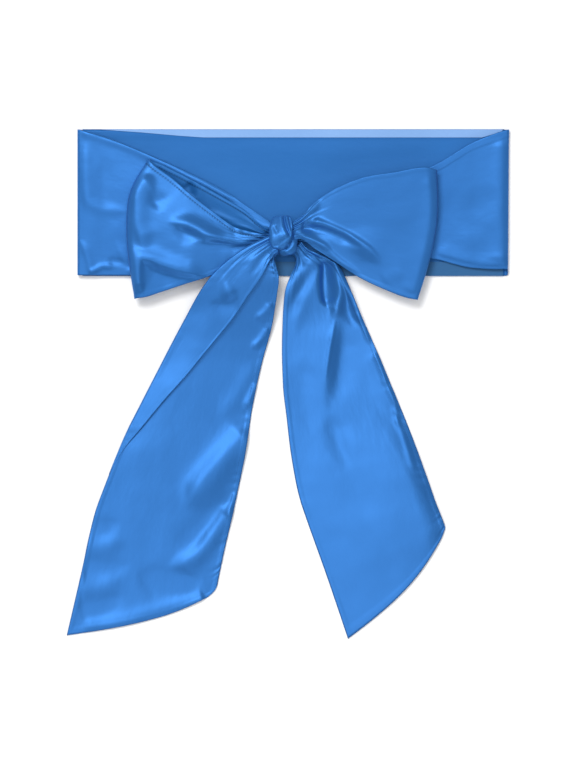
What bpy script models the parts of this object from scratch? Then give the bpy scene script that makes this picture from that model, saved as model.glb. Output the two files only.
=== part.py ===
"""A satin sash tied in a bow and laid flat: one long hemmed strip, wound once round as a band,
knotted at the middle, with two bow loops and two slant-cut tails.

The band's back lies on the surface. Its front halves fold over it from the left and the right and
gather into the knot. The loops lie on them, the left tail crosses over the left loop and the right
tail comes out from under the right loop. Lengths in the tables are millimetres, X to the right,
Y towards the band's upper edge, Z up from the surface.
"""

import math
from collections import namedtuple

import bmesh
import bpy
from mathutils import Vector

MM = 0.001

WALL = 1.5  # cloth with its hems and soft layers
GAP = 0.3
REST = WALL / 2  # the middle surface of cloth that lies on the table
TURN_GAP = 1.0  # between a turned end and the flat layer that it meets
SASH_WIDTH = 151.0

BAND_LEFT = -217.0
BAND_RIGHT = 228.5
BAND_TOP = 262.5
BAND_BOTTOM = BAND_TOP - SASH_WIDTH
TOP_HEM_DEPTH = 8.5
BOTTOM_HEM_DEPTH = 14.5
HEM_WALL = 1.0
TURN_PUFF = 2.2
TUCK = 4.0  # how far the band's turned ends reach in under it

KNOT_CENTRE = Vector((-3.5, 150.5, 16.5))
KNOT_RADII = Vector((12.0, 17.0, 11.5))
WRAP_WALL = 1.8
UNDER_CLEAR = 0.6  # from the bundle to the stretch that passes under the wrap
WRAP_CLEAR = UNDER_CLEAR + WRAP_WALL + 0.6

COLOURS = {
    "satin_face": ((0.045, 0.215, 0.68), 0.36),
    "satin_reverse": ((0.036, 0.175, 0.50), 0.55),
    "satin_hem": ((0.19, 0.36, 0.72), 0.42),
}

# A crosswise section: its two edges in plan, how far it bows out between them and where along it,
# the height of its middle surface, how much its middle crowns up, and the depth of its pleats.
Rib = namedtuple("Rib", "ax ay bx by bow bow_at lift crown pleat")

# A soft ridge (or, below zero, a trough) laid on a stretch from one plan point to another.
Fold = namedtuple("Fold", "x0 y0 x1 y1 reach height")

FOLD_EDGE_LEFT = BAND_LEFT + WALL / 2
FOLD_EDGE_RIGHT = BAND_RIGHT - WALL / 2
FOLD_TOP = BAND_TOP - 0.5
FOLD_BOTTOM_LEFT = BAND_BOTTOM + 1.0
FOLD_BOTTOM_RIGHT = BAND_BOTTOM + 7.5  # the right front half was folded over a little short

BAND_LEFT_RIBS = [
    Rib(FOLD_EDGE_LEFT + TUCK, FOLD_TOP, FOLD_EDGE_LEFT + TUCK, FOLD_BOTTOM_LEFT, 0, 0.5, REST, 0, 0),
    Rib(FOLD_EDGE_LEFT + 1.0, FOLD_TOP, FOLD_EDGE_LEFT + 1.0, FOLD_BOTTOM_LEFT, 0, 0.5, 1.6, 0, 0),
    Rib(FOLD_EDGE_LEFT, FOLD_TOP, FOLD_EDGE_LEFT, FOLD_BOTTOM_LEFT, 0, 0.5, 4.0, 0, 0),
    Rib(FOLD_EDGE_LEFT + 2.0, 261.6, FOLD_EDGE_LEFT + 2.0, 112.3, 0, 0.5, 6.6, 0, 0),
    Rib(-206, 259.8, -206, 112.2, 0, 0.5, 6.8, 0.6, 0),
    Rib(-187, 254, -187, 112, 0, 0.5, 5.6, 0.6, 0),
    Rib(-140, 235, -140, 113, 0, 0.5, 4.8, 0, 0),
    Rib(-92, 213, -92, 119, 0, 0.5, 4.8, 0, 0.2),
    Rib(-62, 197, -60, 128, 0, 0.5, 5.2, 0, 0.5),
    Rib(-42, 183, -40, 137, 0, 0.5, 6.0, 0, 0.9),
    Rib(-22, 168, -22, 147, 0, 0.5, 7.0, 0, 1.1),
]

BAND_RIGHT_RIBS = [
    Rib(FOLD_EDGE_RIGHT - TUCK, FOLD_TOP, FOLD_EDGE_RIGHT - TUCK, FOLD_BOTTOM_RIGHT, 0, 0.5, REST, 0, 0),
    Rib(FOLD_EDGE_RIGHT - 1.0, FOLD_TOP, FOLD_EDGE_RIGHT - 1.0, FOLD_BOTTOM_RIGHT, 0, 0.5, 1.6, 0, 0),
    Rib(FOLD_EDGE_RIGHT, FOLD_TOP, FOLD_EDGE_RIGHT, FOLD_BOTTOM_RIGHT, 0, 0.5, 4.0, 0, 0),
    Rib(FOLD_EDGE_RIGHT - 2.0, 261.8, FOLD_EDGE_RIGHT - 2.0, 119, 0, 0.5, 6.6, 0, 0),
    Rib(215, 258.6, 215, 119, 0, 0.5, 6.8, 0.6, 0),
    Rib(190, 248.5, 188, 120, 0, 0.5, 5.6, 0.6, 0),
    Rib(156, 228, 150, 130, 0, 0.5, 4.8, 0, 0),
    Rib(110, 206, 108, 138, 0, 0.5, 4.8, 0, 0.2),
    Rib(68, 190, 68, 143, 0, 0.5, 5.2, 0, 0.5),
    Rib(36, 177, 36, 146, 0, 0.5, 6.0, 0, 0.9),
    Rib(15, 168, 15, 150, 0, 0.5, 7.0, 0, 1.1),
]

LOOP_LEFT_FRONT_RIBS = [
    Rib(-138.0, 227.0, -152.0, 89.5, 17, 0.33, 8.2, 0, 0),
    Rib(-141.2, 229.5, -155.6, 88.0, 17, 0.33, 9.6, 0, 0),
    Rib(-142.2, 230.5, -156.4, 87.8, 17, 0.33, 13.0, 0, 0),
    Rib(-141.4, 229.5, -155.4, 88.0, 17, 0.33, 16.6, 1.5, 0),
    Rib(-138, 225.5, -149, 88.8, 17, 0.33, 18.6, 4, 0),
    Rib(-118, 211, -128, 95, 14, 0.38, 17.4, 5, 0),
    Rib(-101, 196, -104, 103, 9, 0.4, 16.4, 4, 0.2),
    Rib(-77, 177, -77, 112, 4, 0.5, 15.6, 2, 0.5),
    Rib(-51, 159.5, -50, 128, 0, 0.5, 15.4, 0, 0.9),
    Rib(-22, 153, -22, 140, 0, 0.5, 16.4, 0, 1.0),
]

LOOP_LEFT_BACK_RIBS = [
    Rib(-135.6, 228.0, -149.8, 90.0, 17, 0.33, 8.2, 0, 0),
    Rib(-120, 221, -130, 95, 14, 0.38, 8.2, 0, 0),
    Rib(-95, 208, -102, 105, 9, 0.4, 8.0, 0, 0),
    Rib(-69, 193.5, -72, 116, 4, 0.5, 8.4, 0, 0.2),
    Rib(-45, 179, -46, 130, 0, 0.5, 10.0, 0, 0.6),
    Rib(-22, 161, -22, 142, 0, 0.5, 11.6, 0, 0.9),
]

LOOP_RIGHT_FRONT_RIBS = [
    Rib(148.0, 216.0, 129.0, 89.0, -8.5, 0.45, 10.2, 0, 0),
    Rib(151.2, 219.0, 131.6, 87.2, -8.5, 0.45, 11.6, 0, 0),
    Rib(152.0, 220.0, 132.4, 86.8, -8.5, 0.45, 15.0, 0, 0),
    Rib(151.2, 219.6, 131.4, 87.0, -8.5, 0.45, 18.4, 1, 0),
    Rib(141, 222, 124, 88, -8.5, 0.45, 20.4, 4, 0),
    Rib(110, 217, 97, 98, -6, 0.45, 19.6, 6, 0),
    Rib(82, 212.5, 74, 109, -3, 0.45, 18.6, 5, 0.2),
    Rib(52, 201.5, 48, 126, 0, 0.5, 17.4, 3, 0.5),
    Rib(30, 188, 29, 138, 0, 0.5, 17.0, 1, 0.9),
    Rib(14, 169, 14, 150, 0, 0.5, 17.6, 0, 1.0),
]

LOOP_RIGHT_BACK_RIBS = [
    Rib(146.0, 214.5, 127.0, 90.0, -8.5, 0.45, 10.2, 0, 0),
    Rib(110, 213, 97, 102, -6, 0.45, 10.2, 0, 0),
    Rib(80, 208, 74, 113, -3, 0.45, 10.2, 0, 0.2),
    Rib(50, 196, 47, 131, 0, 0.5, 11.4, 0, 0.6),
    Rib(14, 167, 14, 152, 0, 0.5, 12.8, 0, 0.9),
]

TAIL_LEFT_RIBS = [
    Rib(-23, 149, -18.5, 129.5, 0, 0.5, 20.8, 0, 0.8),
    Rib(-46, 137, -12, 121, 0, 0.5, 21.2, 0, 0.8),
    Rib(-76, 112, -9, 107, 0, 0.5, 18.6, 0.5, 0.6),
    Rib(-90, 93, -11, 92, 0, 0.5, 14.0, 1.5, 0.4),
    Rib(-104, 68, -16, 61, 0, 0.5, 6.8, 2, 0.2),
    Rib(-117, 44, -21, 42, 0, 0.5, 3.6, 1, 0),
    Rib(-130, 19, -26, 24, 0, 0.5, 1.6, 0, 0),
    Rib(-150, -20, -36, -22, 0, 0.5, REST, 0, 0),
    Rib(-171, -62, -43, -68, 0, 0.5, REST, 0, 0),
    Rib(-189, -106, -51, -108, 0, 0.5, REST, 0, 0),
    Rib(-199, -134, -58, -140, 0, 0.5, REST, 0, 0),
    Rib(-213, -196, -68, -184, 2, 0.5, REST, 0, 0),
    Rib(-227.5, -258.5, -74, -215, 8, 0.6, REST, 0, 0),
]

# How far across the left tail its turned-over side reaches, at shares of the tail's length.
Turn = namedtuple("Turn", "along reach")

TAIL_LEFT_TURN = [
    Turn(0.03, 0.82),
    Turn(0.09, 0.74),
    Turn(0.17, 0.68),
    Turn(0.23, 0.63),
    Turn(0.30, 0.53),
    Turn(0.37, 0.47),
    Turn(0.44, 0.36),
    Turn(0.54, 0.21),
    Turn(0.64, 0.07),
    Turn(0.69, 0.03),
]

TAIL_RIGHT_RIBS = [
    Rib(9, 128, 19, 140, 0, 0.5, 10.2, 0, 0.5),
    Rib(2, 110, 50, 124, 0, 0.5, 7.6, 0, 0.6),
    Rib(-3, 94, 65, 96, 0, 0.5, 7.0, 0, 0.7),
    Rib(-5, 72, 75, 72, 0, 0.5, 4.2, 0, 0.7),
    Rib(-6, 36, 91, 36, 0, 0.5, 1.8, 0, 0.6),
    Rib(-5, 0, 106, 0, 0, 0.5, 1.2, 0, 0.3),
    Rib(-1, -36, 121, -36, 0, 0.5, REST, 0, 0),
    Rib(4, -88, 139, -88, 0, 0.5, REST, 0, 0),
    Rib(19, -136, 152, -121, 0, 0.5, REST, 0, 0),
    Rib(40, -197, 160, -141, 3, 0.5, REST, 0, 0),
    Rib(62, -262, 163, -150, 10, 0.55, REST, 0, 0),
]

LOOP_LEFT_FOLDS = [
    Fold(-150, 178, -147, 120, 9, 2.4),
    Fold(-141, 200, -126, 168, 8, 1.8),
    Fold(-124, 168, -80, 156, 6, 2.2),
    Fold(-118, 158, -84, 148, 6, -2.4),
    Fold(-112, 140, -70, 149, 7, 1.8),
    Fold(-154, 129, -86, 114, 6, 2.0),
]

LOOP_RIGHT_FOLDS = [
    Fold(28, 165, 90, 132, 7, 2.2),
    Fold(22, 160, 58, 152, 6, -2.0),
    Fold(48, 182, 120, 126, 10, 2.4),
    Fold(142, 210, 130, 100, 7, 1.6),
]

TAIL_LEFT_FOLDS = [
    Fold(-30, 92, -62, 40, 8, 1.8),
    Fold(-44, 60, -64, -70, 9, 2.2),
    Fold(-70, -60, -110, -180, 14, 2.6),
    Fold(-110, -20, -150, -130, 16, 2.0),
    Fold(-150, -150, -190, -230, 16, 2.2),
]

TAIL_RIGHT_FOLDS = [
    Fold(22, 100, 10, 20, 8, 2.2),
    Fold(50, 60, 38, -30, 8, 3.0),
    Fold(66, 60, 110, -60, 9, 2.2),
    Fold(30, -60, 60, -180, 15, 2.2),
    Fold(90, -60, 120, -170, 14, 2.0),
]

TOP_HEM_OUTLINE = [
    (-193, BAND_TOP), (-151, 259.3), (-110, 255.6), (-86, BAND_TOP - TOP_HEM_DEPTH),
    (200, BAND_TOP - TOP_HEM_DEPTH), (221.5, 260.4), (221.5, BAND_TOP),
]
BOTTOM_HEM_LEFT, BOTTOM_HEM_RIGHT = -210.0, 221.5


def satin(slot):
    """The slot's material, a Principled shader in the cloth's colour and gloss."""
    colour, roughness = COLOURS[slot]
    made = bpy.data.materials.new(slot)
    made.use_nodes = True
    shader = made.node_tree.nodes["Principled BSDF"]
    shader.inputs["Base Color"].default_value = (*colour, 1.0)
    shader.inputs["Roughness"].default_value = roughness
    shader.inputs["Metallic"].default_value = 0.0
    return made


def slopes_of(stations, values):
    """Slopes that carry a curve through the values without overshooting them."""
    steps = [b - a for a, b in zip(stations, stations[1:])]
    rises = [(b - a) / h for a, b, h in zip(values, values[1:], steps)]
    slopes = [rises[0]]
    for before, after in zip(rises, rises[1:]):
        level = before * after <= 0
        slopes.append(0.0 if level else 2 * before * after / (before + after))
    return slopes + [rises[-1]]


def curve_through(stations, values, place):
    """The value at a place along a smooth curve through the table's values."""
    slopes = slopes_of(stations, values)
    last = len(stations) - 2
    i = min(max(sum(place >= s for s in stations) - 1, 0), last)
    step = stations[i + 1] - stations[i]
    t = (place - stations[i]) / step
    rise = values[i + 1] - values[i]
    bend = slopes[i] * step * t * (1 - t) ** 2 - slopes[i + 1] * step * t ** 2 * (1 - t)
    return values[i] + rise * t * t * (3 - 2 * t) + bend


def stations_of(ribs):
    """How far along the stretch each rib lies, by the mean run of its two edges and its height."""
    found = [0.0]
    for before, rib in zip(ribs, ribs[1:]):
        rise = rib.lift - before.lift
        run_a = math.dist((before.ax, before.ay, 0), (rib.ax, rib.ay, rise))
        run_b = math.dist((before.bx, before.by, 0), (rib.bx, rib.by, rise))
        found.append(found[-1] + (run_a + run_b) / 2)
    return found


def rib_at(ribs, stations, place):
    """The rib at any place along the stretch."""
    return Rib(*(curve_through(stations, column, place) for column in zip(*ribs)))


def swell(across, top_at):
    """0 at both edges, 1 at top_at, with a level top."""
    if across < top_at:
        return math.sin(math.pi / 2 * across / top_at)
    return math.cos(math.pi / 2 * (across - top_at) / (1 - top_at))


def fold_height(folds, x, y):
    """The summed height of the folds at a plan point; each fades out along its length."""
    total = 0.0
    for fold in folds:
        run = Vector((fold.x1 - fold.x0, fold.y1 - fold.y0))
        there = Vector((x - fold.x0, y - fold.y0))
        along = there.dot(run) / run.length_squared
        off = abs(there.cross(run)) / run.length
        if -0.25 < along < 1.25 and off < 3 * fold.reach:
            fade = min(1.0, (along + 0.25) / 0.4, (1.25 - along) / 0.4)
            total += fold.height * fade * fade * (3 - 2 * fade) * math.exp(-(off / fold.reach) ** 2)
    return total


def point_on(rib, across, pleats, folds):
    """A point of the stretch's middle surface, in millimetres."""
    run = Vector((rib.bx - rib.ax, rib.by - rib.ay))
    side = Vector((run.y, -run.x)).normalized()
    flat = Vector((rib.ax, rib.ay)) + run * across + side * rib.bow * swell(across, rib.bow_at)
    height = rib.lift + rib.crown * math.sin(math.pi * across)
    height += rib.pleat * math.sin(2 * math.pi * pleats * across)
    held = min(1.0, 8 * across, 8 * (1 - across))
    height += held * fold_height(folds, flat.x, flat.y)
    return Vector((flat.x, flat.y, max(height, WALL / 2)))


def thickened(name, mesh_data, wall, material, collection):
    """An object with the sheet given its wall, half on each side."""
    for face in mesh_data.polygons:
        face.use_smooth = True
    mesh_data.materials.append(material)
    made = bpy.data.objects.new(name, mesh_data)
    collection.objects.link(made)
    solidify = made.modifiers.new("wall", "SOLIDIFY")
    solidify.thickness = wall * MM
    solidify.offset = 0.0
    solidify.use_rim = True
    return made


def sheet(name, place, along, across, wall, material, collection):
    """A grid of cloth put in place by a function of how far along and across each point is."""
    shape = bmesh.new()
    bmesh.ops.create_grid(shape, x_segments=along, y_segments=across, size=1.0)
    for vertex in shape.verts:
        u, v = (vertex.co.x + 1) / 2, (vertex.co.y + 1) / 2
        vertex.co = place(u, v) * MM
    bmesh.ops.recalc_face_normals(shape, faces=shape.faces)
    mesh_data = bpy.data.meshes.new(name)
    shape.to_mesh(mesh_data)
    shape.free()
    return thickened(name, mesh_data, wall, material, collection)


def stretch(name, ribs, along, across, material, collection, pleats=2, folds=()):
    """A stretch of the sash lofted through its ribs."""
    stations = stations_of(ribs)

    def place(u, v):
        # Half the rows are shared out by rib, so that the turned ends stay round.
        by_length = u * stations[-1]
        by_rib = curve_through(range(len(ribs)), stations, u * (len(ribs) - 1))
        return point_on(rib_at(ribs, stations, (by_length + by_rib) / 2), v, pleats, folds)

    return sheet(name, place, along, across, WALL, material, collection)


def turned_side(name, ribs, turns, along, across, material, collection, folds=()):
    """The side of a stretch turned over onto it: the stretch's own points, moved up."""
    stations = stations_of(ribs)
    starts, reaches = zip(*turns)

    def place(u, v):
        share = starts[0] + (starts[-1] - starts[0]) * u
        reach = curve_through(starts, reaches, share)
        under = point_on(rib_at(ribs, stations, share * stations[-1]), reach * v, 2, folds)
        puff = TURN_PUFF * min(1.0, 3 * reach) * math.sin(math.pi * v) ** 2
        return under + Vector((0, 0, WALL + 2 * GAP + puff))

    return sheet(name, place, along, across, WALL, material, collection)


def rectangle(left, right, bottom, top):
    """The corners of a rectangle, anticlockwise."""
    return [(left, bottom), (right, bottom), (right, top), (left, top)]


def flat_strip(name, outline, floor, wall, material, collection):
    """A flat outline with an even wall, its underside at the given height."""
    shape = bmesh.new()
    corners = [shape.verts.new((x * MM, y * MM, (floor + wall) * MM)) for x, y in outline]
    face = shape.faces.new(corners)
    face.normal_update()
    if face.normal.z < 0:
        face.normal_flip()
    mesh_data = bpy.data.meshes.new(name)
    shape.to_mesh(mesh_data)
    shape.free()
    made = thickened(name, mesh_data, wall, material, collection)
    made.modifiers["wall"].offset = -1.0
    return made


def on_knot(turn, tilt, clear):
    """A point round the knot: turn runs from its upper back over the front, tilt from left to right."""
    radii = KNOT_RADII + Vector((clear, clear, clear))
    round_y, round_z = math.cos(turn), math.sin(turn)
    return KNOT_CENTRE + Vector((
        radii.x * math.sin(tilt),
        radii.y * math.cos(tilt) * round_y,
        radii.z * math.cos(tilt) * round_z,
    ))


def knot_core(material, collection):
    """The gathered layers inside the knot, as one rounded bundle."""
    shape = bmesh.new()
    bmesh.ops.create_uvsphere(shape, u_segments=20, v_segments=12, radius=1.0)
    for vertex in shape.verts:
        scaled = Vector(a * b for a, b in zip(vertex.co, KNOT_RADII))
        vertex.co = (KNOT_CENTRE + scaled) * MM
    mesh_data = bpy.data.meshes.new("knot_core")
    shape.to_mesh(mesh_data)
    shape.free()
    for face in mesh_data.polygons:
        face.use_smooth = True
    mesh_data.materials.append(material)
    made = bpy.data.objects.new("knot_core", mesh_data)
    collection.objects.link(made)
    return made


def knot_stretch(name, turns, tilts, clear, skew, along, across, material, collection):
    """A stretch of the sash drawn round the bundle, leaning sideways by skew as it goes round."""
    def place(u, v):
        turn = math.radians(turns[0] + (turns[1] - turns[0]) * u)
        lean = skew * (u - 0.5)
        tilt = math.radians(tilts[0] + (tilts[1] - tilts[0]) * v + lean)
        return on_knot(turn, tilt, clear + WRAP_WALL / 2)

    return sheet(name, place, along, across, WRAP_WALL, material, collection)


def build():
    """Makes every stretch of the sash."""
    for old in list(bpy.data.objects):
        bpy.data.objects.remove(old, do_unlink=True)
    sash = bpy.data.collections.new("satin_sash")
    bpy.context.scene.collection.children.link(sash)
    face, reverse, hem = satin("satin_face"), satin("satin_reverse"), satin("satin_hem")

    back_left = FOLD_EDGE_LEFT + TUCK + TURN_GAP
    back_right = FOLD_EDGE_RIGHT - TUCK - TURN_GAP
    back = rectangle(back_left, back_right, BAND_BOTTOM, BAND_TOP)
    flat_strip("band_back", back, 0, WALL, reverse, sash)
    hem_floor = WALL + GAP
    flat_strip("band_top_hem", TOP_HEM_OUTLINE, hem_floor, HEM_WALL, hem, sash)
    hem_top = BAND_BOTTOM + BOTTOM_HEM_DEPTH
    bottom = rectangle(BOTTOM_HEM_LEFT, BOTTOM_HEM_RIGHT, BAND_BOTTOM, hem_top)
    flat_strip("band_bottom_hem", bottom, hem_floor, HEM_WALL, hem, sash)

    stretch("band_left", BAND_LEFT_RIBS, 18, 12, face, sash)
    stretch("band_right", BAND_RIGHT_RIBS, 18, 12, face, sash)
    stretch("loop_left_back", LOOP_LEFT_BACK_RIBS, 10, 12, reverse, sash)
    stretch("loop_left_front", LOOP_LEFT_FRONT_RIBS, 18, 16, face, sash, folds=LOOP_LEFT_FOLDS)
    stretch("loop_right_back", LOOP_RIGHT_BACK_RIBS, 10, 12, reverse, sash)
    stretch("loop_right_front", LOOP_RIGHT_FRONT_RIBS, 18, 16, face, sash, folds=LOOP_RIGHT_FOLDS)
    stretch("tail_left", TAIL_LEFT_RIBS, 22, 12, face, sash, folds=TAIL_LEFT_FOLDS)
    turned_side(
        "tail_left_turn", TAIL_LEFT_RIBS, TAIL_LEFT_TURN, 14, 6, face, sash, folds=TAIL_LEFT_FOLDS
    )
    stretch("tail_right", TAIL_RIGHT_RIBS, 22, 14, face, sash, pleats=4, folds=TAIL_RIGHT_FOLDS)

    knot_core(face, sash)
    knot_stretch("knot_wrap", (-4, 158), (-60, 26), WRAP_CLEAR, -12, 14, 8, face, sash)
    knot_stretch("knot_under", (12, 178), (0, 62), UNDER_CLEAR, 12, 12, 6, face, sash)


build()
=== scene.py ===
"""A satin sash tied in a bow and laid flat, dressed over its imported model.

Tables are in millimetres: X to the right, Y towards the band's upper edge, Z up from the table.
Every stretch of cloth is a thin shell lofted through ribs, with its creases laid on one by one.
"""

import logging
import math
from dataclasses import dataclass, field, fields
from enum import Enum

import bmesh
import bpy
import numpy as np
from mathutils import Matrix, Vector, noise


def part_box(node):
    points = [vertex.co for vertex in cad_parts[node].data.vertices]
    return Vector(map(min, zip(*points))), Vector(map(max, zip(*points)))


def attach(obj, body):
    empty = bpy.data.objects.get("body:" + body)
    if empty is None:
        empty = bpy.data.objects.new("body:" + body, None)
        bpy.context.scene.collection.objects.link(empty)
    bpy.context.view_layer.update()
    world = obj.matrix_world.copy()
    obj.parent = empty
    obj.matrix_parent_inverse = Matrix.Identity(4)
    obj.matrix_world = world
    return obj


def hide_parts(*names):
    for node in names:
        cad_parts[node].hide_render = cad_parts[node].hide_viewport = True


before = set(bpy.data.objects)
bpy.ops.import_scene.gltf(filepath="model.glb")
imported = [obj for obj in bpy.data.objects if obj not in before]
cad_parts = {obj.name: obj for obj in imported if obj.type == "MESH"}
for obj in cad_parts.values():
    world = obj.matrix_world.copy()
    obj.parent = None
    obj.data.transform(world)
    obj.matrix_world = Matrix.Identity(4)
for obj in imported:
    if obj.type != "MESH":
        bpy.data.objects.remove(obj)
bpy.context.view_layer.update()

LOG = logging.getLogger("satin_sash")
MM = 0.001
SASH_WIDTH = 151.0
CLOTH = 0.5  # thickness of one layer
HEM_CLOTH = 1.0  # thickness where the hem is turned in
TABLE_LIFT = 0.36  # lowest middle surface of cloth that rests on the table
ATTRIBUTE_FAR = 99.0  # stored less the distance, so a piece with no mark reads as far away
PUCKER_REACH = 8.0  # how far a hem's small waves reach in from its edge
STITCH_PITCH = 3.0
STITCH_NARROWNESS = 1.6
# An end hem's stitches are sunk by this much, which fades their dent and their painted groove shade.
END_STITCH_SUNK = 0.9  # how far the stitches of an end hem are sunk
EASE = 0.9  # how softly cloth comes to rest on the table
CREASE_REACH = 3.2  # widths from a crease beyond which it adds nothing
FADE_START = 0.08  # height share that a crease keeps at its very ends
LIFT_COLUMN = 4  # place of a rib's lift among its values
LAYER_CHANGE = 6.0  # run over which creases hand over from one layer to the other
SHINE_ALONG = 0.65  # how far the shine is drawn out along the sash

LEFT_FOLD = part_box("band_left")[0].x / MM + 0.5
RIGHT_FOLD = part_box("band_right")[1].x / MM - 0.5
BAND_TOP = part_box("band_back")[1].y / MM
BAND_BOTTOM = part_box("band_back")[0].y / MM


class Layer(Enum):
    """Which layer of a folded stretch a crease lies on."""

    FRONT = "front"
    BACK = "back"


@dataclass(frozen=True)
class Rib:
    """A crosswise section of a stretch: its two edges in plan, its height and its shape between.

    bow is how far it curves out in plan and bow_at where; crown is how far its middle rises; pleat
    is the depth of its gathers; tip is how much higher edge b is than edge a; crown_at is where
    the crown is highest.
    """

    ax: float
    ay: float
    bx: float
    by: float
    lift: float
    crown: float = 0.0
    bow: float = 0.0
    bow_at: float = 0.5
    pleat: float = 0.0
    tip: float = 0.0
    crown_at: float = 0.5


@dataclass(frozen=True)
class Crease:
    """A ridge, or a trough below zero, along a line of plan points.

    left and right are its widths on the two sides of its heading, and fade how far it dies out at
    its start and its end.
    """

    line: tuple[tuple[float, float], ...]
    height: float
    left: float
    right: float
    fade: tuple[float, float] = (10.0, 10.0)
    layer: Layer = Layer.FRONT

    def path(self) -> np.ndarray:
        """The line rounded off into a smooth run of points.

        Returns:
            Plan points, one row each.
        """
        points = np.array(self.line, float)
        if len(points) < 3:
            return points
        steps = np.arange(len(points), dtype=float)
        fine = np.linspace(0, len(points) - 1, 7 * (len(points) - 1) + 1)
        return np.stack([curve_through(steps, points[:, i], fine) for i in (0, 1)], axis=1)

    def height_at(self, x: np.ndarray, y: np.ndarray) -> np.ndarray:
        """Height that this crease adds at plan points.

        Args:
            x: places to the right.
            y: places towards the upper edge.

        Returns:
            The added height at each point.
        """
        path = self.path()
        reach = CREASE_REACH * max(self.left, self.right)
        low, high = path.min(axis=0) - reach, path.max(axis=0) + reach
        near = (x > low[0]) & (x < high[0]) & (y > low[1]) & (y < high[1])
        added = np.zeros_like(x)
        if not near.any():
            return added
        px, py = x[near], y[near]
        best = np.full(px.shape, np.inf)
        side = np.zeros_like(px)
        along = np.zeros_like(px)
        walked = 0.0
        for start, end in zip(path, path[1:]):
            run = end - start
            length = math.hypot(*run)
            dx, dy = px - start[0], py - start[1]
            t = np.clip((dx * run[0] + dy * run[1]) / length**2, 0.0, 1.0)
            off = np.hypot(dx - t * run[0], dy - t * run[1])
            closer = off < best
            best = np.where(closer, off, best)
            side = np.where(closer, np.sign(run[0] * dy - run[1] * dx), side)
            along = np.where(closer, walked + t * length, along)
            walked += length
        held = smooth_step(along / max(self.fade[0], 0.01) + FADE_START)
        held = held * smooth_step((walked - along) / max(self.fade[1], 0.01) + FADE_START)
        width = np.where(side > 0, self.left, self.right) * (0.5 + 0.5 * held)
        added[near] = self.height * np.exp(-((best / width) ** 2)) * held
        return added


@dataclass(frozen=True)
class Hems:
    """Depth of the hem along each edge of a stretch, zero where it has none.

    pucker is the depth of its thread's small waves and pitch their spacing; drawn is how far its stitches
    are sunk out of sight, fading their dent and their painted groove shade, zero where they show fully.
    """

    a: float = 0.0
    b: float = 0.0
    end: float = 0.0
    pucker_a: float = 0.0
    pucker_b: float = 0.0
    pitch: float = 15.0
    drawn_a: float = 0.9
    drawn_b: float = 0.9


def smooth_step(value: np.ndarray) -> np.ndarray:
    """0 below 0 and 1 above 1, with a smooth rise between."""
    held = np.clip(value, 0.0, 1.0)
    return held * held * (3.0 - 2.0 * held)


def curve_through(stations: np.ndarray, values: np.ndarray, place: np.ndarray) -> np.ndarray:
    """Values at places along a smooth curve that never overshoots its table.

    Args:
        stations: rising places of the table.
        values: the table's values.
        place: where the curve is read.

    Returns:
        The curve's values there.
    """
    steps = np.diff(stations)
    rises = np.diff(values) / steps
    before, after = rises[:-1], rises[1:]
    product = before * after
    total = np.where(product > 0, before + after, 1.0)
    slopes = np.concatenate([rises[:1], np.where(product > 0, 2 * product / total, 0.0), rises[-1:]])
    i = np.clip(np.searchsorted(stations, place, side="right") - 1, 0, len(steps) - 1)
    t = (place - stations[i]) / steps[i]
    bend = slopes[i] * steps[i] * t * (1 - t) ** 2 - slopes[i + 1] * steps[i] * t**2 * (1 - t)
    return values[i] + (values[i + 1] - values[i]) * t * t * (3 - 2 * t) + bend


def swell(across: np.ndarray, top_at: np.ndarray) -> np.ndarray:
    """0 at both edges and 1 at top_at, with a level top.

    Args:
        across: shares of the width.
        top_at: where the top is.

    Returns:
        The height share at each place.
    """
    rising = np.sin(np.pi / 2 * across / top_at)
    falling = np.cos(np.pi / 2 * (across - top_at) / (1 - top_at))
    return np.where(across < top_at, rising, falling)


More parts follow.
